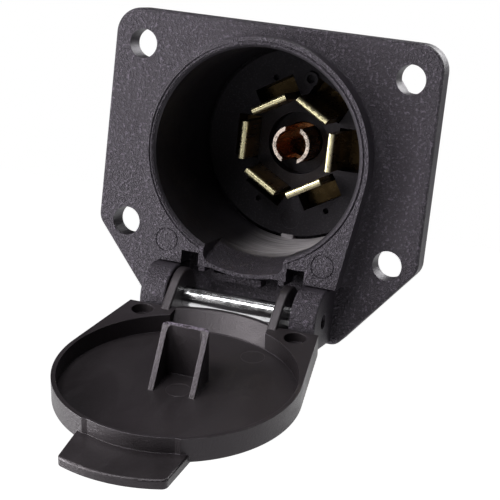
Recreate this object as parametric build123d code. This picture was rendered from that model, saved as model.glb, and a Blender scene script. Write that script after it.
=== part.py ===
from build123d import *
import math
import os

os.makedirs("parts", exist_ok=True)

# ---- driving dimensions (mm): X across, Z up, -Y out of the front; y = 0 is the mounting face ----
FLANGE_T = 5.5
FLANGE_HALF_W = 38.8
FLANGE_TOP = 28.9
FLANGE_SHOULDER = -21.2
FLANGE_BOTTOM = -41.2
FLANGE_BOTTOM_HALF = 22.2
FLANGE_EDGE_R = 0.8
CORNER_R = 6.0
SHOULDER_R = 4.0
BOTTOM_R = 3.0
HOLE_DX = 63.5
HOLE_DZ = 41.7
HOLE_R = 3.35

RIM_H = 6.3
RIM_R = 26.3
BORE_R = 24.0
BORE_BACK_R = 23.6
BORE_STRAIGHT = 10.0
BORE_CHAMFER = 0.9
ROOT_R = 2.4
GROOVE_R = 25.0
GROOVE_W = 0.45
GROOVE_DEEP = 0.3
BARREL_R = 25.8
BARREL_END = 39.5
POCKET_R = 24.4
TAPER = 9.3
BOSS_BOTTOM = -27.1

HINGE_OUT = 7.6
HINGE_Z = -34.2
EAR_R = 6.8
EAR_X = 20.8
EAR_IN = 14.75
EAR_DROP = 6.1
PIN_R = 2.38
PIN_PLAY = 0.07
PIN_CHAMFER = 0.35
PUNCH_R = 1.7

KEY_HALF = 9.6
KEY_R = 27.1
KEY_CORNER = 2.2
KEY_WALL = 0.9
KEY_DEEP = 12.0
SLOT_TOP = -24.1
SLOT_SIDE = 10.6
STEP_LEFT = -7.6
STEP_RIGHT = 4.2
STEP_TOP = -28.4
STEP_DEEP = 4.2
STEP_PITCH = 0.55
STEP_RAKE = 0.3
WEB_X = 9.6
WEB_T = 1.4
WEB_FOOT = -28.2
WEB_REST = 0.15
RIB_W = 3.0
RIB_H = 1.7
RIB_PROUD = 0.6
SLOT_REST = 0.6
MARK_X = 18.7
MARK_Z = -22.3
MARK_R = 2.75
MARK_W = 0.3
MARK_DEEP = 0.2
EAR_EDGE_R = 0.5
CUT = 1.0
TOUCH = 0.01

LID_R = 26.2
LID_IN_R = 25.2
LID_GAP = 0.35
LID_DEEP = 5.5
LID_FLOOR = 1.4
LID_BACK = -26.0
LID_BAY_HALF = 11.2
LID_BAY_R = 28.1
LID_OPEN = 105.0
LID_EDGE_R = 0.6
TAB_HALF = 12.1
TAB_NOSE_HALF = 11.4
TAB_SIDE_END = 33.2
TAB_END = 35.4
TAB_T = 2.0
RECESS_X = 18.0
RECESS_Z = -22.9
RECESS_R = 2.5
RECESS_DEEP = 2.2
ARM_T = 2.2
ARM_R = 6.5
ARM_EDGE_R = 0.45
HEEL_PLAY = 0.3
HEEL_LOW = -6.0
HEEL_HIGH = -2.8
ARM_LEFT = -14.45
ARM_RIGHT = 10.8
HOOK_H = 11.6
HOOK_HALF = 5.2
HOOK_WALL = 1.2
HOOK_BACK = -6.6
HOOK_TIP = 3.0
HOOK_X = -0.4
HOOK_EDGE_R = 1.4

INSERT_Y = 21.5
INSERT_R = 24.3
INSERT_T = 9.5
PLATE_T = 3.5
DIMPLE_R = 0.7
DIMPLE_DEEP = 1.6
DIMPLES = [(-7.5, 15.0), (-8.6, -15.0), (8.9, -15.5)]
BEAD_X = 1.5
BEAD_Z = 15.8
BEAD_R = 1.8
BEAD_HOLE_R = 1.05
BEAD_H = 0.8
EJECTOR_R = 2.4
PILOT_R = 1.2
PILOT_DEEP = 6.0
EJECTOR_Z = -18.9
FIXING_R = 19.2
STUD_R = 3.0
BLADE_R = 10.8
BLADE_W = 9.0
BLADE_T = 1.7
BLADE_EDGE_R = 0.7
BLADE_TIP = 11.0
TAIL_W = 6.4
TAIL_END = 45.5
SLOT_W = 10.2
SLOT_OUT = 15.8
SLOT_DEEP = 7.0
SEAT_T = 1.2
PLAY = 0.1
WELL_R = 7.6
WELL_DEEP = 4.0
MOAT_R = 22.95
MOAT_DEEP = 1.5
STUD_FACE = 29.0
SLEEVE_R = 4.6
SLEEVE_WALL = 0.85
SLEEVE_TIP = 15.3
SLEEVE_PLAY = 0.3
SLIT_HALF = 1.9
SLIT_END = 26.5
STUD_SEAT = 1.5

SCREW_R = 1.6
HEAD_R = 2.9
HEAD_H = 2.0
COLLAR_R = 2.5
COLLAR_H = 1.4
COLLAR_DROP = 0.6
DRIVE_W = 0.8
AXIAL_HEAD_R = 2.4
AXIAL_HEAD_H = 1.6
CLAMP_T = 1.0
TERMINAL_Y = 40.6

GASKET_T = 1.0
COVER_END = 53.0
COVER_IN_R = 21.8
SKIRT_R = 24.3
OUTLET_R = 10.5
OUTLET_END = 59.0
OUTLET_BORE = 7.4
COVER_WALL = 2.4
COVER_EDGE_R = 2.5
COVER_R = 25.2
COVER_REAR_R = 22.2
COVER_STRAIGHT = 42.0
CORD_R = 4.6
TAP_R = 1.15
SINK_R = 2.6
SINK_H = 1.3
HOLE_CLEAR_R = 1.35
SHANK_SPAN = 8.0
LIP_W = 1.2
LIP_T = 2.0

# ---- derived ----
FRONT = -FLANGE_T
RIM = FRONT - RIM_H
HINGE_Y = FRONT - HINGE_OUT
PLATE_Y = INSERT_Y + INSERT_T
COVER_Y = BARREL_END + GASKET_T
SKIRT_Y = PLATE_Y + PLATE_T
LID_EDGE = RIM - LID_GAP
LID_OUT = LID_EDGE - LID_DEEP
LID_FLOOR_Y = LID_OUT + LID_FLOOR
BLADE_IN = BLADE_R - BLADE_T / 2
BLADE_OUT = BLADE_R + BLADE_T / 2
BLADE_ANGLES = [120, 60, 0, -60, -120, 180]
SCREW_ANGLES = [30, 150, 270]
COVER_SCREW_ANGLES = [90, 210, 330]
COVER_SCREW_Y = (SKIRT_Y + BARREL_END) / 2 + 0.2
HINGE_AXIS = Axis((0, HINGE_Y, HINGE_Z), (1, 0, 0))


def prism(outline, front, back):
    """Outline drawn in X and Z, solid between two depths."""
    return Pos(0, back, 0) * extrude(Plane.XZ * outline, back - front)


def disc(radius, front, back, x=0.0, z=0.0):
    return prism(Pos(x, z) * Circle(radius), front, back)


def block(x0, x1, y0, y1, z0, z1):
    return Pos((x0 + x1) / 2, (y0 + y1) / 2, (z0 + z1) / 2) * Box(x1 - x0, y1 - y0, z1 - z0)


def cone_y(front_radius, back_radius, front, back):
    return Pos(0, (front + back) / 2, 0) * Rot(90, 0, 0) * Cone(back_radius, front_radius, back - front)


def rod_x(radius, x0, x1, y, z):
    return Pos((x0 + x1) / 2, y, z) * Rot(0, 90, 0) * Cylinder(radius, x1 - x0)


def around(angle, shape):
    """Turn a shape made at 12 o'clock so that it sits at the given angle from +X."""
    return Rot(0, 90 - angle, 0) * shape


def polar(radius, angle):
    return radius * math.cos(math.radians(angle)), radius * math.sin(math.radians(angle))


def tombstone(radius, bottom):
    """Circle whose sides run on as two tangents that close in towards the hinge."""
    t = math.radians(TAPER)
    tx, tz = radius * math.cos(t), -radius * math.sin(t)
    bx = tx + (bottom - tz) * math.tan(t)
    return Circle(radius) + Polygon((-bx, bottom), (bx, bottom), (tx, tz), (-tx, tz), align=None)


def keyway(grow=0.0):
    """Bottom segment of a circle slightly larger than the bore, with rounded corners."""
    strip = Pos(0, -24) * Rectangle(2 * (KEY_HALF + grow), 12)
    shape = Circle(KEY_R + grow) & strip
    corners = shape.vertices().sort_by(Axis.Y)[:2]
    return fillet(corners, KEY_CORNER + grow)


# ---- housing: flange, barrel, tapered boss, hinge ears ----
def flange():
    shape = Polygon(
        (-FLANGE_HALF_W, FLANGE_SHOULDER),
        (-FLANGE_BOTTOM_HALF, FLANGE_BOTTOM),
        (FLANGE_BOTTOM_HALF, FLANGE_BOTTOM),
        (FLANGE_HALF_W, FLANGE_SHOULDER),
        (FLANGE_HALF_W, FLANGE_TOP),
        (-FLANGE_HALF_W, FLANGE_TOP),
        align=None,
    )
    corners = shape.vertices().sort_by(Axis.Y)
    shape = fillet(corners[4:], CORNER_R)
    shape = fillet(shape.vertices().filter_by(lambda v: abs(v.Y - FLANGE_SHOULDER) < TOUCH), SHOULDER_R)
    shape = fillet(shape.vertices().filter_by(lambda v: abs(v.Y - FLANGE_BOTTOM) < TOUCH), BOTTOM_R)
    plate = prism(shape, FRONT, 0)
    front_edges = plate.faces().sort_by(Axis.Y)[0].edges()
    return fillet(front_edges, FLANGE_EDGE_R)


def ear(x0, x1):
    outer = rod_x(EAR_R, x0, x1, HINGE_Y, HINGE_Z)
    outer += block(x0, x1, HINGE_Y, FRONT + 0.5, HINGE_Z - EAR_R, HINGE_Z + EAR_R)
    rims = outer.edges().filter_by(GeomType.CIRCLE)
    outer = fillet(rims, EAR_EDGE_R)
    low = HINGE_Z - EAR_DROP
    return outer - block(x0 - 1, x1 + 1, HINGE_Y - EAR_R - 1, FRONT + 1, low - 2, low)


def housing():
    body = flange() + prism(tombstone(RIM_R, BOSS_BOTTOM), RIM, FRONT + 1)
    roots = body.edges().filter_by(lambda e: abs(e.center().Y - FRONT) < TOUCH)
    roots = roots.filter_by(lambda e: abs(e.center().X) < RIM_R + CUT and e.center().Z > BOSS_BOTTOM + CUT)
    body = fillet(roots, ROOT_R)
    body += disc(BARREL_R, -1, BARREL_END)
    body += prism(keyway(KEY_WALL), RIM, FRONT + 0.5)
    body += ear(-EAR_X, -EAR_IN) + ear(EAR_IN, EAR_X)
    # ribbed step below the keyway and the thin webs beside it
    for i in range(3):
        front = FRONT - STEP_DEEP + STEP_RAKE * i
        step = block(STEP_LEFT, STEP_RIGHT, front, FRONT + 0.5, -STEP_PITCH - 0.05, 0)
        body += Pos(0, 0, STEP_TOP - STEP_PITCH * i) * step
    web = block(-WEB_T / 2, WEB_T / 2, RIM + WEB_REST, FRONT + CUT / 2, WEB_FOOT, SLOT_TOP - STEP_RAKE)
    for x in (-WEB_X, WEB_X):
        body += Pos(x, 0, 0) * web
    # bore: straight behind its chamfer, then drafted down to the insert's seat
    body -= disc(BORE_R, RIM - 1, BORE_STRAIGHT)
    body -= cone_y(BORE_R, BORE_BACK_R, BORE_STRAIGHT, INSERT_Y)
    body -= cone_y(BORE_R + BORE_CHAMFER, BORE_R, RIM, RIM + BORE_CHAMFER)
    body -= disc(POCKET_R, INSERT_Y, BARREL_END + 1)
    # keyway: its floor climbs from the lip to the bore's wall
    ramp = cone_y(KEY_R, BORE_R, RIM, RIM + KEY_DEEP) + disc(KEY_R, RIM - 1, RIM)
    body -= prism(keyway(), RIM - 1, RIM + KEY_DEEP) & ramp
    # fine groove round the rim's face, stopping at the keyway
    groove = disc(GROOVE_R + GROOVE_W, RIM, RIM + GROOVE_DEEP) - disc(GROOVE_R, RIM - 1, RIM + 1)
    body -= groove - block(-KEY_HALF - 1, KEY_HALF + 1, RIM - 1, RIM + 1, -30, -18)
    # anti-rotation rib for the insert
    body += block(-RIB_W / 2, RIB_W / 2, INSERT_Y - RIB_PROUD, PLATE_Y, -POCKET_R - 0.5, -POCKET_R + RIB_H)
    # clearance slots for the lid's arms
    for x0, x1 in ((-EAR_IN, -SLOT_SIDE), (SLOT_SIDE, EAR_IN)):
        body -= block(x0, x1, RIM - 1, FRONT - SLOT_REST, BOSS_BOTTOM - 1.5, SLOT_TOP)
    # round moulding marks on the boss
    for x in (-MARK_X, MARK_X):
        ring = disc(MARK_R, RIM, RIM + MARK_DEEP, x, MARK_Z)
        body -= ring - disc(MARK_R - MARK_W, RIM, RIM + MARK_DEEP, x, MARK_Z)
    # mounting holes
    for x in (-HOLE_DX / 2, HOLE_DX / 2):
        for z in (-HOLE_DZ / 2, HOLE_DZ / 2):
            body -= disc(HOLE_R, FRONT - 1, 1, x, z)
    # pin bore: open on the left, blind with a punch-out hole on the right
    body -= rod_x(PIN_R, -EAR_X - 1, EAR_X - 2.0, HINGE_Y, HINGE_Z)
    body -= rod_x(PUNCH_R, 0, EAR_X + 1, HINGE_Y, HINGE_Z)
    # cover screws
    for a in COVER_SCREW_ANGLES:
        body -= around(a, cover_screw_hole())
    return body


def cover_screw_hole():
    head = Pos(0, COVER_SCREW_Y, BARREL_R - 0.55) * Cone(HOLE_CLEAR_R, SINK_R, SINK_H)
    shank = Pos(0, COVER_SCREW_Y, BARREL_R) * Cylinder(HOLE_CLEAR_R, SHANK_SPAN)
    return head + shank


def hinge_pin():
    pin = rod_x(PIN_R, -EAR_X + 0.4, EAR_X - 2.3, HINGE_Y, HINGE_Z)
    return chamfer(pin.edges(), PIN_CHAMFER)


# ---- lid, drawn closed and then swung to its open stop ----
def lid_arm(x0):
    back = LID_BACK + 1.5
    sweep = Pos(HINGE_Y, HINGE_Z) * Circle(ARM_R)
    root = Pos((LID_OUT + LID_EDGE) / 2, back - 0.5) * Rectangle(LID_DEEP, 1)
    web = make_hull((sweep + root).edges())
    arm = extrude(Plane.YZ.offset(x0) * web, ARM_T)
    arm = fillet(arm.edges().filter_by(GeomType.CIRCLE), ARM_EDGE_R)
    return arm - rod_x(PIN_R + PIN_PLAY, x0 - 1, x0 + ARM_T + 1, HINGE_Y, HINGE_Z)


def lid_heel(x0):
    """Stop on the arm's back, beside the flange when the lid is fully open."""
    reach = HINGE_OUT - HEEL_PLAY
    toe = Polygon((0, -ARM_R), (reach, HEEL_LOW), (reach, HEEL_HIGH), (0, -4), align=None)
    heel = extrude(Plane.YZ.offset(x0) * Pos(HINGE_Y, HINGE_Z) * toe, ARM_T)
    return heel - rod_x(PIN_R + PIN_PLAY, x0 - 1, x0 + ARM_T + 1, HINGE_Y, HINGE_Z)


def lid_hook():
    side = Polygon(
        (LID_FLOOR_Y - 0.3, HOOK_BACK),
        (LID_FLOOR_Y + HOOK_H, HOOK_BACK),
        (LID_FLOOR_Y + HOOK_H, HOOK_BACK + HOOK_WALL),
        (LID_FLOOR_Y - 0.3, HOOK_TIP),
        align=None,
    )
    hook = extrude(Plane.YZ.offset(-HOOK_HALF) * side, 2 * HOOK_HALF)
    inner = Rectangle(2 * (HOOK_HALF - HOOK_WALL), 30, align=(Align.CENTER, Align.MIN))
    inner = fillet(inner.vertices().sort_by(Axis.Y)[:2], 1.0)
    hook -= prism(Pos(0, HOOK_BACK + HOOK_WALL) * inner, LID_FLOOR_Y - 1, LID_FLOOR_Y + HOOK_H + 1)
    outer_edges = hook.edges().filter_by(Axis.Y).filter_by(lambda e: abs(e.center().Z - HOOK_BACK) < TOUCH)
    return Pos(HOOK_X, 0, 0) * fillet(outer_edges, HOOK_EDGE_R)


def lid():
    rear = Circle(LID_BAY_R + 1) & Pos(0, -LID_BAY_R) * Rectangle(2 * LID_BAY_HALF + 2, 10)
    outline = tombstone(LID_R, LID_BACK) + rear
    body = prism(outline, LID_OUT, LID_EDGE)
    rim_edges = body.faces().sort_by(Axis.Y)[0].edges()
    body = fillet(rim_edges, LID_EDGE_R)
    body -= prism(Circle(LID_IN_R), LID_FLOOR_Y, LID_EDGE + 1)
    # rear bay: a sloping wall from the rim down to the floor
    bay = cone_y(LID_IN_R - 0.2, LID_BAY_R, LID_FLOOR_Y, LID_EDGE) + disc(LID_BAY_R, LID_EDGE, LID_EDGE + 1)
    body -= bay & block(-LID_BAY_HALF, LID_BAY_HALF, LID_OUT, 0, -40, -10)
    for x in (-RECESS_X, RECESS_X):
        body -= disc(RECESS_R, LID_EDGE - RECESS_DEEP, LID_EDGE + 1, x, RECESS_Z)
    # pull tab at the outer face, wall set back above it
    left = (-TAB_NOSE_HALF, TAB_SIDE_END)
    right = (TAB_NOSE_HALF, TAB_SIDE_END)
    nose = Polyline(left, (-TAB_HALF, 22), (TAB_HALF, 22), right)
    nose += ThreePointArc(right, (0, TAB_END), left)
    nose = make_face(nose.edges())
    nose = fillet(nose.vertices().sort_by(Axis.Y)[2:], 1.4)
    tab = prism(nose - Circle(LID_R - 1), LID_OUT, LID_OUT + TAB_T)
    body += fillet(tab.faces().sort_by(Axis.Y)[-1].edges().sort_by(Axis.Z)[-1:], 0.5)
    flat = Pos(0, 29) * Rectangle(2 * TAB_HALF - 0.4, 10) - Circle(LID_R - 0.45)
    body -= prism(flat, LID_OUT + TAB_T, LID_EDGE + 1)
    body += lid_hook()
    for x0 in (ARM_LEFT, ARM_RIGHT):
        body += lid_arm(x0)
    body = body.rotate(HINGE_AXIS, LID_OPEN)
    for x0 in (ARM_LEFT, ARM_RIGHT):
        body += lid_heel(x0)
    return body


# ---- contact insert and its retainer plate ----
def contact_insert():
    body = disc(INSERT_R, INSERT_Y, PLATE_Y)
    body -= disc(WELL_R, INSERT_Y - 1, INSERT_Y + WELL_DEEP)
    body -= disc(SLEEVE_R + SLEEVE_PLAY, INSERT_Y - 1, PLATE_Y + 1)
    for a in BLADE_ANGLES:
        slot = block(-SLOT_W / 2, SLOT_W / 2, INSERT_Y - 1, INSERT_Y + SLOT_DEEP, BLADE_IN, SLOT_OUT)
        way = block(-BLADE_W / 2, BLADE_W / 2, INSERT_Y, PLATE_Y + 1, BLADE_IN, BLADE_OUT)
        body -= around(a, slot + way)
    body -= disc(INSERT_R + 1, INSERT_Y - 1, INSERT_Y + MOAT_DEEP) - disc(MOAT_R, INSERT_Y - 2, PLATE_Y)
    # dimples, a small ring and an ejector mark on the face, then the notch for the housing's rib
    for x, z in DIMPLES:
        body -= disc(DIMPLE_R, INSERT_Y - 1, INSERT_Y + DIMPLE_DEEP, x, z)
    body += disc(BEAD_R, INSERT_Y - BEAD_H, INSERT_Y + 1, BEAD_X, BEAD_Z)
    body -= disc(BEAD_HOLE_R, INSERT_Y - 2, INSERT_Y + 0.6, BEAD_X, BEAD_Z)
    body -= disc(EJECTOR_R, INSERT_Y - 1, INSERT_Y + MARK_DEEP, 0, EJECTOR_Z)
    notch_half = RIB_W / 2 + PLAY
    notch_top = -POCKET_R + RIB_H + PLAY
    body -= block(-notch_half, notch_half, INSERT_Y - 1, PLATE_Y + 1, -INSERT_R - 1, notch_top)
    for a in SCREW_ANGLES:
        x, z = polar(FIXING_R, a)
        body -= disc(PILOT_R, PLATE_Y - PILOT_DEEP, PLATE_Y + 1, x, z)
    return body


def retainer_plate():
    body = disc(INSERT_R, PLATE_Y, SKIRT_Y)
    body -= disc(SLEEVE_R + SLEEVE_PLAY, PLATE_Y - 1, SKIRT_Y - STUD_SEAT)
    body -= disc(STUD_R, PLATE_Y - 1, SKIRT_Y + 1)
    for a in BLADE_ANGLES:
        slit = block(-TAIL_W / 2, TAIL_W / 2, PLATE_Y - 1, SKIRT_Y + 1, BLADE_IN, BLADE_OUT)
        body -= around(a, slit)
    for a in SCREW_ANGLES:
        x, z = polar(FIXING_R, a)
        body -= disc(PILOT_R + SLEEVE_PLAY, PLATE_Y - 1, SKIRT_Y + 1, x, z)
    return body


# ---- contacts ----
def blade():
    tongue = block(-BLADE_W / 2, BLADE_W / 2, BLADE_TIP, PLATE_Y, BLADE_IN, BLADE_OUT)
    tongue = fillet(tongue.faces().sort_by(Axis.Y)[0].edges().filter_by(Axis.X), BLADE_EDGE_R)
    seat_y = INSERT_Y + SLOT_DEEP
    seat_half = SLOT_W / 2 - PLAY
    tongue += block(-seat_half, seat_half, seat_y - SEAT_T, seat_y, BLADE_IN, SLOT_OUT - PLAY)
    tail = block(-TAIL_W / 2, TAIL_W / 2, PLATE_Y - 1, TAIL_END, BLADE_IN, BLADE_OUT)
    collar = Pos(0, TERMINAL_Y, BLADE_IN - COLLAR_DROP) * Cylinder(COLLAR_R, COLLAR_H)
    body = tongue + tail + collar
    return body - Pos(0, TERMINAL_Y, BLADE_R) * Cylinder(SCREW_R, 12)


def centre_contact():
    ring = Circle(SLEEVE_R) - Circle(SLEEVE_R - SLEEVE_WALL)
    body = prism(ring, SLEEVE_TIP, PLATE_Y + 1)
    body -= block(-SLIT_HALF, SLIT_HALF, SLEEVE_TIP - 1, SLIT_END, -WELL_R, WELL_R)
    return body


def centre_stud():
    body = disc(SLEEVE_R - SLEEVE_WALL, STUD_FACE, SKIRT_Y - STUD_SEAT)
    body += disc(STUD_R, SKIRT_Y - 2, SKIRT_Y + 1)
    body += block(-TAIL_W / 2, TAIL_W / 2, SKIRT_Y, TAIL_END, -BLADE_T / 2, BLADE_T / 2)
    body += Pos(0, TERMINAL_Y, -BLADE_T / 2 - COLLAR_DROP) * Cylinder(COLLAR_R, COLLAR_H)
    return body - Pos(0, TERMINAL_Y, 0) * Cylinder(SCREW_R, 12)


def terminal_screw(base):
    """Binding screw whose head faces away from the barrel axis."""
    seat = base + BLADE_T / 2 + CLAMP_T
    head = Pos(0, TERMINAL_Y, seat + HEAD_H / 2) * Cylinder(HEAD_R, HEAD_H)
    head = fillet(head.edges().sort_by(Axis.Z)[-1:], 0.6)
    head -= Pos(0, TERMINAL_Y, seat + HEAD_H) * Box(7, DRIVE_W, 1.8)
    shank = Pos(0, TERMINAL_Y, seat - 2.6) * Cylinder(SCREW_R, 5.2)
    return head + shank


def wire_clamp(base):
    seat = base + BLADE_T / 2
    plate = Pos(0, TERMINAL_Y, seat + CLAMP_T / 2) * Box(6.4, 6.0, CLAMP_T)
    plate = fillet(plate.edges().filter_by(Axis.Z), 0.8)
    return plate - Pos(0, TERMINAL_Y, seat) * Cylinder(SCREW_R, 6)


def axial_screw(radius, angle):
    x, z = polar(radius, angle)
    head = disc(AXIAL_HEAD_R, SKIRT_Y, SKIRT_Y + AXIAL_HEAD_H, x, z)
    head -= Pos(x, SKIRT_Y + AXIAL_HEAD_H, z) * Box(6, 1.6, DRIVE_W)
    return head + disc(PILOT_R, PLATE_Y - PILOT_DEEP + 0.5, SKIRT_Y + 0.5, x, z)


# ---- rear cover, its gasket, screws and the wire grommet ----
def rear_cover():
    body = disc(COVER_R, COVER_Y, COVER_STRAIGHT) + disc(SKIRT_R, SKIRT_Y, COVER_Y + 1)
    body += cone_y(COVER_R, COVER_REAR_R, COVER_STRAIGHT, COVER_END)
    rear_edges = body.faces().sort_by(Axis.Y)[-1].edges()
    body = fillet(rear_edges, COVER_EDGE_R)
    body += disc(OUTLET_R, COVER_END - 1, OUTLET_END)
    body -= disc(COVER_IN_R, SKIRT_Y - 1, COVER_STRAIGHT)
    body -= cone_y(COVER_IN_R, COVER_REAR_R - COVER_WALL, COVER_STRAIGHT, COVER_END - COVER_WALL)
    body -= disc(OUTLET_BORE, COVER_END - 4, OUTLET_END + 1)
    for a in COVER_SCREW_ANGLES:
        body -= around(a, Pos(0, COVER_SCREW_Y, COVER_IN_R) * Cylinder(TAP_R, 12))
    return body


def cover_gasket():
    return disc(COVER_R + PLAY, BARREL_END, COVER_Y) - disc(POCKET_R, BARREL_END - 1, COVER_Y + 1)


def cover_screw():
    top = BARREL_R - PLAY
    head = Pos(0, COVER_SCREW_Y, top - 0.6) * Cone(1.25, 2.4, 1.2)
    head -= Pos(0, COVER_SCREW_Y, top) * Box(6, 0.6, 1.2)
    return head + Pos(0, COVER_SCREW_Y, top - 2.7) * Cylinder(TAP_R, 3.6)


def grommet():
    inner_lip = COVER_END - COVER_WALL
    body = disc(OUTLET_BORE, inner_lip, OUTLET_END)
    body += disc(OUTLET_R - PLAY, OUTLET_END, OUTLET_END + LIP_T)
    body += disc(OUTLET_BORE + LIP_W, inner_lip - LIP_T, inner_lip)
    return body - disc(CORD_R, inner_lip - 3, OUTLET_END + 3)


# ---- export ----
def save(shape, name):
    export_step(shape, "parts/" + name + ".step")


save(housing(), "housing")
save(lid(), "lid")
save(hinge_pin(), "hinge_pin")
save(contact_insert(), "contact_insert")
save(retainer_plate(), "retainer_plate")
for number, angle in enumerate(BLADE_ANGLES, 1):
    save(around(angle, blade()), "blade_%d" % number)
save(centre_contact(), "centre_contact")
save(centre_stud(), "centre_stud")
screws = [around(a, terminal_screw(BLADE_R)) for a in BLADE_ANGLES] + [terminal_screw(0)]
save(Compound(children=screws), "terminal_screws")
clamps = [around(a, wire_clamp(BLADE_R)) for a in BLADE_ANGLES] + [wire_clamp(0)]
save(Compound(children=clamps), "wire_clamps")
save(Compound(children=[axial_screw(FIXING_R, a) for a in SCREW_ANGLES]), "insert_screws")
save(rear_cover(), "rear_cover")
save(cover_gasket(), "cover_gasket")
save(Compound(children=[around(a, cover_screw()) for a in COVER_SCREW_ANGLES]), "cover_screws")
save(grommet(), "grommet")
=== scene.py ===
import math

import bpy
from mathutils import Matrix, Vector


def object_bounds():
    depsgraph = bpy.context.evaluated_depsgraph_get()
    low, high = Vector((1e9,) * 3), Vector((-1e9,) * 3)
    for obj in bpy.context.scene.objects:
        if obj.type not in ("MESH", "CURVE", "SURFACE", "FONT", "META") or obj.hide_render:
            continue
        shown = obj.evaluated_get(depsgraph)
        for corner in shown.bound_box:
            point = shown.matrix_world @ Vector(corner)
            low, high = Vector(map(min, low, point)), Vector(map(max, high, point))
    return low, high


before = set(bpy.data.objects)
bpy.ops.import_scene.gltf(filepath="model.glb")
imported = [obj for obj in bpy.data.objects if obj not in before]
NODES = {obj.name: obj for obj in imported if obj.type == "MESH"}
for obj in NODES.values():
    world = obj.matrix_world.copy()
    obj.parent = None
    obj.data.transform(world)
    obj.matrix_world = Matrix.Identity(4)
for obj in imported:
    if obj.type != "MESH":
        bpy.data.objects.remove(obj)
CAD_LO, CAD_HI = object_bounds()
MM = 0.001
X, Y, Z = 0, 1, 2


# ---------------------------------------------------------------- camera
LENS_MM = 111.62
SENSOR_MM = 36.0
CLIP = (0.01, 20.0)
CAMERA_AT = Vector((0.106855, -0.337788, 0.046310))
CAMERA_AIM = Vector((-0.000532, -0.005500, -0.022659))
CAMERA_ROLL = math.radians(6.4475)


def make_camera():
    """Looks at the front from the right and above, rolled a few degrees."""
    data = bpy.data.cameras.new("camera")
    data.lens = LENS_MM
    data.sensor_width = SENSOR_MM
    data.clip_start, data.clip_end = CLIP
    cam = bpy.data.objects.new("camera", data)
    bpy.context.scene.collection.objects.link(cam)
    look = (CAMERA_AIM - CAMERA_AT).to_track_quat("-Z", "Y").to_matrix().to_4x4()
    roll = Matrix.Rotation(CAMERA_ROLL, 4, "Z")
    cam.matrix_world = Matrix.Translation(CAMERA_AT) @ look @ roll
    bpy.context.scene.camera = cam


make_camera()


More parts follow.
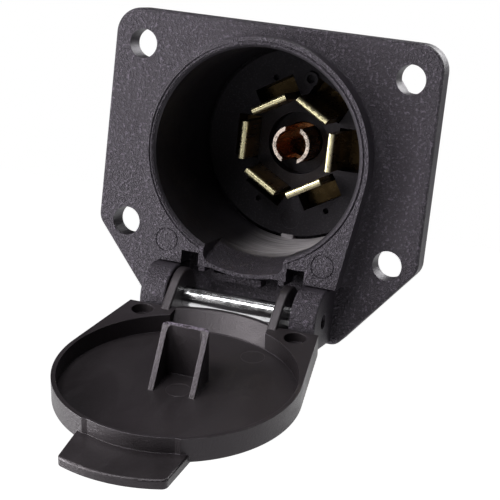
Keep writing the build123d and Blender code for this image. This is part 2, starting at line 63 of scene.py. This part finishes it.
# ---------------------------------------------------------------- node helpers
class Graph:
    """Short ways to add and join shader nodes in one material."""

    def __init__(self, name):
        self.mat = bpy.data.materials.new(name)
        self.mat.use_nodes = True
        self.tree = self.mat.node_tree
        self.tree.nodes.clear()
        out = self.add("ShaderNodeOutputMaterial")
        self.bsdf = self.add("ShaderNodeBsdfPrincipled")
        self.join(self.bsdf.outputs[0], out.inputs[0])
        self.coord = self.add("ShaderNodeTexCoord")
        self.geo = self.add("ShaderNodeNewGeometry")

    def add(self, kind, **settings):
        node = self.tree.nodes.new(kind)
        for key, value in settings.items():
            setattr(node, key, value)
        return node

    def join(self, source, sink):
        self.tree.links.new(source, sink)

    def feed(self, sink, value):
        """A number or colour is set on the socket, anything else is joined to it."""
        if isinstance(value, (int, float, tuple)):
            sink.default_value = value
        else:
            self.join(value, sink)

    def math(self, operation, a, b=0.0, clamp=False):
        node = self.add("ShaderNodeMath", operation=operation, use_clamp=clamp)
        for sink, value in zip(node.inputs, (a, b)):
            self.feed(sink, value)
        return node.outputs[0]

    def times(self, first, *others):
        for other in others:
            first = self.math("MULTIPLY", first, other)
        return first

    def ramp(self, value, low, high, to_low=0.0, to_high=1.0):
        """Smooth step from to_low at low to to_high at high."""
        node = self.add("ShaderNodeMapRange", interpolation_type="SMOOTHSTEP")
        limits = {"From Min": low, "From Max": high, "To Min": to_low, "To Max": to_high}
        for key, number in limits.items():
            node.inputs[key].default_value = number
        self.feed(node.inputs["Value"], value)
        return node.outputs[0]

    def mix(self, factor, a, b):
        node = self.add("ShaderNodeMix", data_type="RGBA")
        self.feed(node.inputs["Factor"], factor)
        self.feed(node.inputs["A"], a)
        self.feed(node.inputs["B"], b)
        return node.outputs["Result"]

    def place(self, scale=(1, 1, 1)):
        """Position in the object's own frame, in metres, optionally stretched."""
        node = self.add("ShaderNodeMapping")
        node.inputs["Scale"].default_value = scale
        self.join(self.coord.outputs["Object"], node.inputs["Vector"])
        return node.outputs[0]

    def axes(self, vector):
        node = self.add("ShaderNodeSeparateXYZ")
        self.join(vector, node.inputs[0])
        return node.outputs

    def noise(self, size_mm, detail=3.0, rough=0.55, stretch=(1, 1, 1), distort=0.0):
        node = self.add("ShaderNodeTexNoise")
        node.inputs["Scale"].default_value = 1000.0 / size_mm
        node.inputs["Detail"].default_value = detail
        node.inputs["Roughness"].default_value = rough
        node.inputs["Distortion"].default_value = distort
        self.join(self.place(stretch), node.inputs["Vector"])
        return node.outputs["Fac"]

    def above(self, place, point, normal):
        """Height over a plane, in metres."""
        node = self.add("ShaderNodeVectorMath", operation="DOT_PRODUCT")
        self.join(place, node.inputs[0])
        node.inputs[1].default_value = normal
        return self.math("SUBTRACT", node.outputs["Value"], point.dot(normal))

    def distance(self, place, point):
        node = self.add("ShaderNodeVectorMath", operation="DISTANCE")
        self.join(place, node.inputs[0])
        node.inputs[1].default_value = point
        return node.outputs["Value"]

    def ring(self, place, point, radius_mm, half_mm):
        """1 on a thin circle drawn round a point on the surface."""
        off_line = self.math("SUBTRACT", self.distance(place, point), radius_mm * MM)
        return self.ramp(self.math("ABSOLUTE", off_line), 0.0, half_mm * MM, 1.0, 0.0)

    def soft_edges(self, radius_mm):
        """Normal with every edge rounded a little."""
        node = self.add("ShaderNodeBevel", samples=6)
        node.inputs["Radius"].default_value = radius_mm * MM
        return node.outputs[0]

    def edge_mask(self, radius_mm, low=0.02, high=0.25):
        """1 along outer and inner edges, 0 on open faces."""
        dot = self.add("ShaderNodeVectorMath", operation="DOT_PRODUCT")
        self.join(self.soft_edges(radius_mm), dot.inputs[0])
        self.join(self.geo.outputs["Normal"], dot.inputs[1])
        return self.ramp(self.math("SUBTRACT", 1.0, dot.outputs["Value"]), low, high)

    def bump(self, height, depth_mm, strength=1.0, normal=None):
        node = self.add("ShaderNodeBump")
        node.inputs["Distance"].default_value = depth_mm * MM
        self.feed(node.inputs["Strength"], strength)
        self.join(height, node.inputs["Height"])
        if normal is not None:
            self.join(normal, node.inputs["Normal"])
        return node.outputs[0]

    def shader(self, **sockets):
        for key, value in sockets.items():
            self.feed(self.bsdf.inputs[key.replace("_", " ")], value)


def grey(value, tint):
    return tuple(value * t for t in tint) + (1.0,)


def darker(colour, factor):
    return tuple(c * factor for c in colour[:3]) + (1.0,)


# ---------------------------------------------------------------- moulded plastic
VIOLET = (1.0, 0.86, 1.10)
WARM = (1.08, 0.90, 1.0)
NEUTRAL = (1.0, 0.94, 1.05)

# the bore: its radius, and how far down it the wall carries turning marks and pale marks; the
# pale marks are partly plug wear and partly a painted highlight
BORE_EDGE = (0.0243, 0.0247)
MARKS_FROM_Y = (-0.011, -0.009)
# pale marks on the bore wall: partly wear, partly a painted highlight, kept to the lower right
# where the key light falls
SCUFF_AND_HIGHLIGHT_SHADE = 0.45
SCUFF_AND_HIGHLIGHT_TINT = (1.0, 0.94, 0.98)
SCUFF_HIGHLIGHT_BELOW_Z = (-0.0225, -0.0165)
SCUFF_HIGHLIGHT_FROM_Y = (-0.004, 0.004)
SCUFF_HIGHLIGHT_FROM_X = (-0.009, 0.003)

# shades of the moulded plastic, as multiples of its own base
PATCH_SHADES = (0.86, 1.14)
# pale specks on the grain: painted glints
GLINT_SPECK_SHADE = 6.0
# paler edges: partly wear, partly a painted edge highlight
EDGE_WEAR_AND_HIGHLIGHT_SHADE = 4.5
# how far the bore's inside is darkened: painted shade
BORE_PAINTED_SHADE = 0.3


def moulded(name, base, rough, grain_mm, grain_depth, drawn_grain,
            bore=False, tint=VIOLET, shine=0.5):
    """Black glass-filled nylon, grained on faces towards the front, smoother on drawn ones."""
    g = Graph(name)
    pos = g.axes(g.place())
    nrm = g.axes(g.coord.outputs["Normal"])
    textured = g.ramp(g.math("MULTIPLY", nrm[Y], -1.0), -0.1, 0.6)
    if bore:
        # the bore and everything behind its mouth is smooth
        radius = g.math("SQRT", g.math("ADD", g.times(pos[X], pos[X]), g.times(pos[Z], pos[Z])))
        outside = g.ramp(radius, *BORE_EDGE)
        textured = g.times(textured, outside)
    coarse = g.noise(grain_mm, 3.0, 0.7)
    fine = g.noise(grain_mm * 0.5, 3.0, 0.7, distort=0.3)
    broad = g.noise(7.0, 3.0, 0.5)
    patch = g.noise(22.0, 2.0, 0.5)
    grain = g.math("ADD", coarse, g.math("MULTIPLY", fine, 0.5))
    amount = g.math("ADD", g.math("MULTIPLY", textured, 1.0 - drawn_grain), drawn_grain)
    normal = g.bump(grain, grain_depth, amount, g.soft_edges(0.22))

    dark, pale = (grey(base * part, tint) for part in PATCH_SHADES)
    shade = g.mix(g.ramp(patch, 0.3, 0.7), dark, pale)
    glint_speck = g.times(g.ramp(coarse, 0.52, 0.68), amount, 0.85)
    # painted highlight: pale specks on the grain stand for glints
    shade = g.mix(glint_speck, shade, grey(base * GLINT_SPECK_SHADE, tint))
    # paler edges in broad patches: partly wear, partly a painted edge highlight
    edge_wear_and_highlight = g.times(g.edge_mask(0.35), g.ramp(broad, 0.35, 0.65), 0.6)
    shade = g.mix(edge_wear_and_highlight, shade, grey(base * EDGE_WEAR_AND_HIGHLIGHT_SHADE, tint))
    if bore:
        turning = g.noise(0.9, 3.0, 0.6, (0.10, 1.0, 0.10))
        inside = g.math("SUBTRACT", 1.0, outside)
        marks = g.times(inside, g.ramp(pos[Y], *MARKS_FROM_Y))
        normal = g.bump(turning, 0.10, marks, normal)
        # painted shade: the whole inside of the bore is darkened to stand for the shade in it
        shade = g.mix(inside, shade, grey(base * BORE_PAINTED_SHADE, tint))
        low = g.times(g.ramp(pos[Z], *SCUFF_HIGHLIGHT_BELOW_Z, 1.0, 0.0), g.ramp(pos[Y], *SCUFF_HIGHLIGHT_FROM_Y),
                      g.ramp(pos[X], *SCUFF_HIGHLIGHT_FROM_X))
        scuff_and_highlight = g.times(marks, low, g.ramp(turning, 0.30, 0.66, 0.40, 1.0))
        # pale marks: partly plug wear, partly a painted highlight on the lit lower wall
        shade = g.mix(scuff_and_highlight, shade, grey(SCUFF_AND_HIGHLIGHT_SHADE, SCUFF_AND_HIGHLIGHT_TINT))

    gloss = g.math("ADD", g.ramp(broad, 0.3, 0.7, rough - 0.05, rough + 0.06),
                   g.math("MULTIPLY", textured, 0.06))
    g.shader(Base_Color=shade, Roughness=gloss, Normal=normal, Specular_IOR_Level=shine,
             Specular_Tint=(1.0, 0.93, 1.05, 1.0))
    return g.mat


# ---------------------------------------------------------------- the lid's plastic
# the lid at rest: its inner floor's direction and middle, and the way along it from the hinge
LID_NORMAL = Vector((0.0, -0.2588, 0.9659))
LID_TOWARDS_TAB = Vector((0.0, -0.9659, -0.2588))
LID_FLOOR_AT = Vector((0.0, -0.04532, -0.04609))

# the latch wedge: a ball round it, and the height over the floor where it starts
HOOK_CENTRE = LID_FLOOR_AT + LID_NORMAL * 0.006
HOOK_REACH = (0.0128, 0.0135)
HOOK_FROM = (0.0004, 0.0008)

# ejector marks: mm to the right of the floor's middle, and mm from it towards the tab
EJECTOR_MARKS = ((0.4, 0.5), (10.0, -18.5))
EJECTOR_R_MM = 2.6
EJECTOR_LINE_MM = 0.12


def ejector_rings(g, place):
    rings = None
    for right_mm, out_mm in EJECTOR_MARKS:
        spot = LID_FLOOR_AT + Vector((right_mm * MM, 0.0, 0.0)) + LID_TOWARDS_TAB * (out_mm * MM)
        ring = g.ring(place, spot, EJECTOR_R_MM, EJECTOR_LINE_MM)
        rings = ring if rings is None else g.math("ADD", rings, ring, clamp=True)
    return rings


def lid_plastic():
    """Satin inside with faint flow marks, grained outside, gritty on the latch wedge's top."""
    g = Graph("lid_plastic")
    place = g.place()
    nrm = g.axes(g.coord.outputs["Normal"])
    flow = g.noise(9.0, 4.0, 0.6, (1.0, 0.35, 1.0), 0.6)
    fine = g.noise(0.30, 3.0, 0.7)
    grit = g.noise(0.55, 3.0, 0.7)
    patch = g.noise(26.0, 2.0, 0.5)

    up = g.ramp(nrm[Z], 0.55, 0.9)
    outer = g.ramp(nrm[Z], -0.6, -0.2, 1.0, 0.0)
    near = g.ramp(g.distance(place, HOOK_CENTRE), *HOOK_REACH, 1.0, 0.0)
    height = g.above(place, LID_FLOOR_AT, LID_NORMAL)
    hook = g.times(near, g.ramp(height, *HOOK_FROM), g.ramp(nrm[Z], 0.3, 0.5))
    rings = g.times(ejector_rings(g, place), up)

    amount = g.math("ADD", g.ramp(up, 0.0, 1.0, 0.8, 0.16), hook, clamp=True)
    amount = g.math("ADD", amount, outer)
    grain = g.math("ADD", g.math("MULTIPLY", fine, 0.6), grit)
    normal = g.bump(grain, 0.09, amount, g.soft_edges(0.2))
    normal = g.bump(flow, 0.25, 0.10, normal)
    normal = g.bump(rings, 0.08, 0.8, normal)

    shade = g.mix(g.ramp(patch, 0.3, 0.7), grey(0.010, WARM), grey(0.016, WARM))
    shade = g.mix(g.times(g.ramp(grit, 0.55, 0.75), 0.30), shade, grey(0.045, VIOLET))
    # paler edges in broad patches: partly wear, partly a painted edge highlight
    edge_wear_and_highlight = g.times(g.edge_mask(0.3), g.ramp(flow, 0.35, 0.65), 0.6)
    shade = g.mix(edge_wear_and_highlight, shade, grey(0.07, VIOLET))
    shade = g.mix(g.times(hook, g.ramp(grit, 0.42, 0.58)), shade, grey(0.20, VIOLET))
    shade = g.mix(g.times(rings, 0.5), shade, grey(0.05, WARM))

    gloss = g.math("ADD", g.ramp(flow, 0.3, 0.7, 0.32, 0.44), g.math("MULTIPLY", hook, 0.2))
    gloss = g.math("ADD", gloss, g.math("MULTIPLY", outer, 0.22))
    g.shader(Base_Color=shade, Roughness=gloss, Normal=normal,
             Specular_Tint=(1.0, 0.93, 1.0, 1.0))
    return g.mat


# ---------------------------------------------------------------- metal and rubber
# how far behind a contact's tip the bright metal ends, and where painted shade darkens it deep in
# its slot
BRIGHT_ENDS = (0.0002, 0.0012)
PAINTED_SHADE_DEEP_STARTS = (0.008, 0.014)


def brass(name, tip, side, tip_y, rough=0.30):
    """Stamped brass: bright front edge, partly wear and partly a painted highlight; darker sides,
    partly tarnish and partly painted shade; painted shade deep down.
    """
    g = Graph(name)
    lines = g.noise(1.0, 2.0, 0.5, (1.0, 0.10, 1.0))
    stain = g.noise(3.5, 4.0, 0.6)
    pos = g.axes(g.place())
    behind = g.ramp(pos[Y], *(tip_y + y for y in BRIGHT_ENDS))
    deep_shade = g.ramp(pos[Y], *(tip_y + y for y in PAINTED_SHADE_DEEP_STARTS))
    normal = g.bump(lines, 0.005, 0.2)
    shade = g.mix(g.ramp(stain, 0.4, 0.75), side, darker(side, 0.6))
    # painted shade: the metal is darkened deep in its slot
    shade = g.mix(deep_shade, shade, darker(side, 0.2))
    shade = g.mix(behind, tip, shade)
    gloss = g.ramp(lines, 0.3, 0.7, rough - 0.06, rough + 0.10)
    g.shader(Base_Color=shade, Metallic=1.0, Roughness=gloss, Normal=normal)
    return g.mat


def plated(name, colour, rough, along, pit):
    """Plated steel with fine lines and duller patches."""
    g = Graph(name)
    lines = g.noise(0.3, 3.0, 0.6, along)
    stain = g.noise(2.2, 4.0, 0.6)
    normal = g.bump(lines, 0.012, pit)
    shade = g.mix(g.ramp(stain, 0.45, 0.8), colour, darker(colour, 0.72))
    gloss = g.ramp(stain, 0.3, 0.75, rough - 0.04, rough + 0.10)
    g.shader(Base_Color=shade, Metallic=1.0, Roughness=gloss, Normal=normal)
    return g.mat


def rubber():
    g = Graph("seal_rubber")
    fine = g.noise(0.18, 4.0, 0.7)
    broad = g.noise(4.0, 3.0, 0.5)
    normal = g.bump(fine, 0.03, 0.5, g.soft_edges(0.3))
    shade = g.mix(g.ramp(broad, 0.3, 0.7), (0.014, 0.014, 0.015, 1.0), (0.03, 0.03, 0.031, 1.0))
    gloss = g.ramp(broad, 0.3, 0.7, 0.6, 0.75)
    g.shader(Base_Color=shade, Roughness=gloss, Normal=normal)
    return g.mat


# ---------------------------------------------------------------- which piece has which
# contact colours: the pale tips are partly wear and partly a painted highlight; the darker sides
# are partly tarnish and partly painted shade, and the sleeve's orange sides partly paint light
# bouncing inside it
BRASS_TIP = (0.84, 0.77, 0.48, 1.0)
BRASS_SIDE = (0.40, 0.27, 0.12, 1.0)
SLEEVE_TIP = (0.98, 0.84, 0.74, 1.0)
SLEEVE_SIDE = (0.50, 0.22, 0.09, 1.0)
PIN_STEEL = (0.80, 0.80, 0.82, 1.0)
SCREW_STEEL = (0.62, 0.62, 0.60, 1.0)
BLADE_TIP_Y = 0.011
SLEEVE_TIP_Y = 0.0153
LINES_ALONG_X = (0.05, 1.0, 1.0)
NO_DIRECTION = (1.0, 1.0, 1.0)

BLADES = ["blade_%d" % number for number in range(1, 7)]
FINISHES = (
    (moulded("housing_plastic", 0.016, 0.48, 0.70, 0.60, 0.12, bore=True), ["housing"]),
    (moulded("insert_plastic", 0.0045, 0.44, 0.40, 0.03, 0.3, tint=NEUTRAL, shine=0.32),
     ["contact_insert", "retainer_plate"]),
    (moulded("cover_plastic", 0.017, 0.55, 0.45, 0.10, 0.5), ["rear_cover"]),
    (lid_plastic(), ["lid"]),
    (brass("contact_brass", BRASS_TIP, BRASS_SIDE, BLADE_TIP_Y), BLADES),
    (brass("sleeve_brass", SLEEVE_TIP, SLEEVE_SIDE, SLEEVE_TIP_Y, 0.26),
     ["centre_contact", "centre_stud"]),
    (plated("pin_steel", PIN_STEEL, 0.16, LINES_ALONG_X, 0.06), ["hinge_pin"]),
    (plated("screw_steel", SCREW_STEEL, 0.3, NO_DIRECTION, 0.35),
     ["terminal_screws", "wire_clamps", "insert_screws", "cover_screws"]),
    (rubber(), ["cover_gasket", "grommet"]),
)
for material, names in FINISHES:
    for name in names:
        for slot in NODES[name].material_slots:
            slot.material = material


# ---------------------------------------------------------------- stage and light
FLOOR_DROP = 0.5
FLOOR_HALF = 3.0
# the floor's glow: weak within the inner radius, a painted shadow under the part, full beyond the
# outer one
GLOW_STARTS = (0.45, 0.95)
GLOW = (0.12, 1.0)
PAPER = ((0.86, 0.86, 0.86, 1.0), (0.90, 0.90, 0.90, 1.0))
WORLD_ON_SURFACES = 0.02
WORLD_TO_CAMERA = 1.0

CENTRE = Vector((0.0, -0.01, -0.01))
WHITE = (1.0, 1.0, 1.0)
LAMPS = (
    # name, azimuth, elevation, distance, width, height, watts, colour
    ("low_left", -60, -15, 0.45, 0.22, 0.22, 2.5, WHITE),
    ("left", -42, 13, 0.45, 0.20, 0.26, 1.9, (1.0, 0.985, 0.97)),
    ("overhead", 0, 85, 0.45, 0.22, 0.22, 0.8, WHITE),
    ("front", -14, 42, 0.45, 0.12, 0.12, 1.0, WHITE),
    ("rear", 155, 30, 0.7, 0.45, 0.45, 5.0, WHITE),
)


def white_floor():
    """Flat pale floor well below the part, which glows less near the part: a painted shadow under
    it.
    """
    drop = CAD_LO[Z] - FLOOR_DROP
    half = FLOOR_HALF
    corners = [(-half, -half, drop), (half, -half, drop), (half, half, drop), (-half, half, drop)]
    mesh = bpy.data.meshes.new("floor")
    mesh.from_pydata(corners, [], [(0, 1, 2, 3)])
    floor = bpy.data.objects.new("floor", mesh)
    bpy.context.scene.collection.objects.link(floor)
    g = Graph("pale_paper")
    fibre = g.noise(3.0, 3.0, 0.6)
    away = g.distance(g.place(), (0.0, 0.0, drop))
    # the weak glow near the part is a painted shadow
    g.shader(Base_Color=g.mix(g.ramp(fibre, 0.3, 0.7), *PAPER), Roughness=0.9,
             Emission_Color=(1.0, 1.0, 1.0, 1.0),
             Emission_Strength=g.ramp(away, *GLOW_STARTS, *GLOW))
    mesh.materials.append(g.mat)


def white_world():
    """White behind the part, and nearly no light from it on the surfaces."""
    world = bpy.data.worlds.new("white")
    world.use_nodes = True
    bpy.context.scene.world = world
    tree = world.node_tree
    glow = tree.nodes["Background"]
    glow.inputs["Color"].default_value = (1.0, 1.0, 1.0, 1.0)
    path = tree.nodes.new("ShaderNodeLightPath")
    level = tree.nodes.new("ShaderNodeMapRange")
    level.inputs["To Min"].default_value = WORLD_ON_SURFACES
    level.inputs["To Max"].default_value = WORLD_TO_CAMERA
    tree.links.new(path.outputs["Is Camera Ray"], level.inputs["Value"])
    tree.links.new(level.outputs[0], glow.inputs["Strength"])


def around_object(azimuth, elevation, distance):
    """Azimuth 0 is straight in front of the bore, negative to its left."""
    a, e = math.radians(azimuth), math.radians(elevation)
    return Vector((math.sin(a) * math.cos(e) * distance,
                   -math.cos(a) * math.cos(e) * distance,
                   math.sin(e) * distance))


def area_light(name, azimuth, elevation, distance, width, height, power, colour):
    data = bpy.data.lights.new(name, "AREA")
    data.shape = "RECTANGLE"
    data.size = width
    data.size_y = height
    data.energy = power
    data.color = colour
    lamp = bpy.data.objects.new(name, data)
    lamp.location = around_object(azimuth, elevation, distance)
    lamp.rotation_mode = "QUATERNION"
    lamp.rotation_quaternion = (CENTRE - lamp.location).to_track_quat("-Z", "Y")
    bpy.context.scene.collection.objects.link(lamp)


white_floor()
white_world()
for settings in LAMPS:
    area_light(*settings)
bpy.context.scene.view_settings.view_transform = "Standard"
bpy.context.scene.view_settings.look = "None"
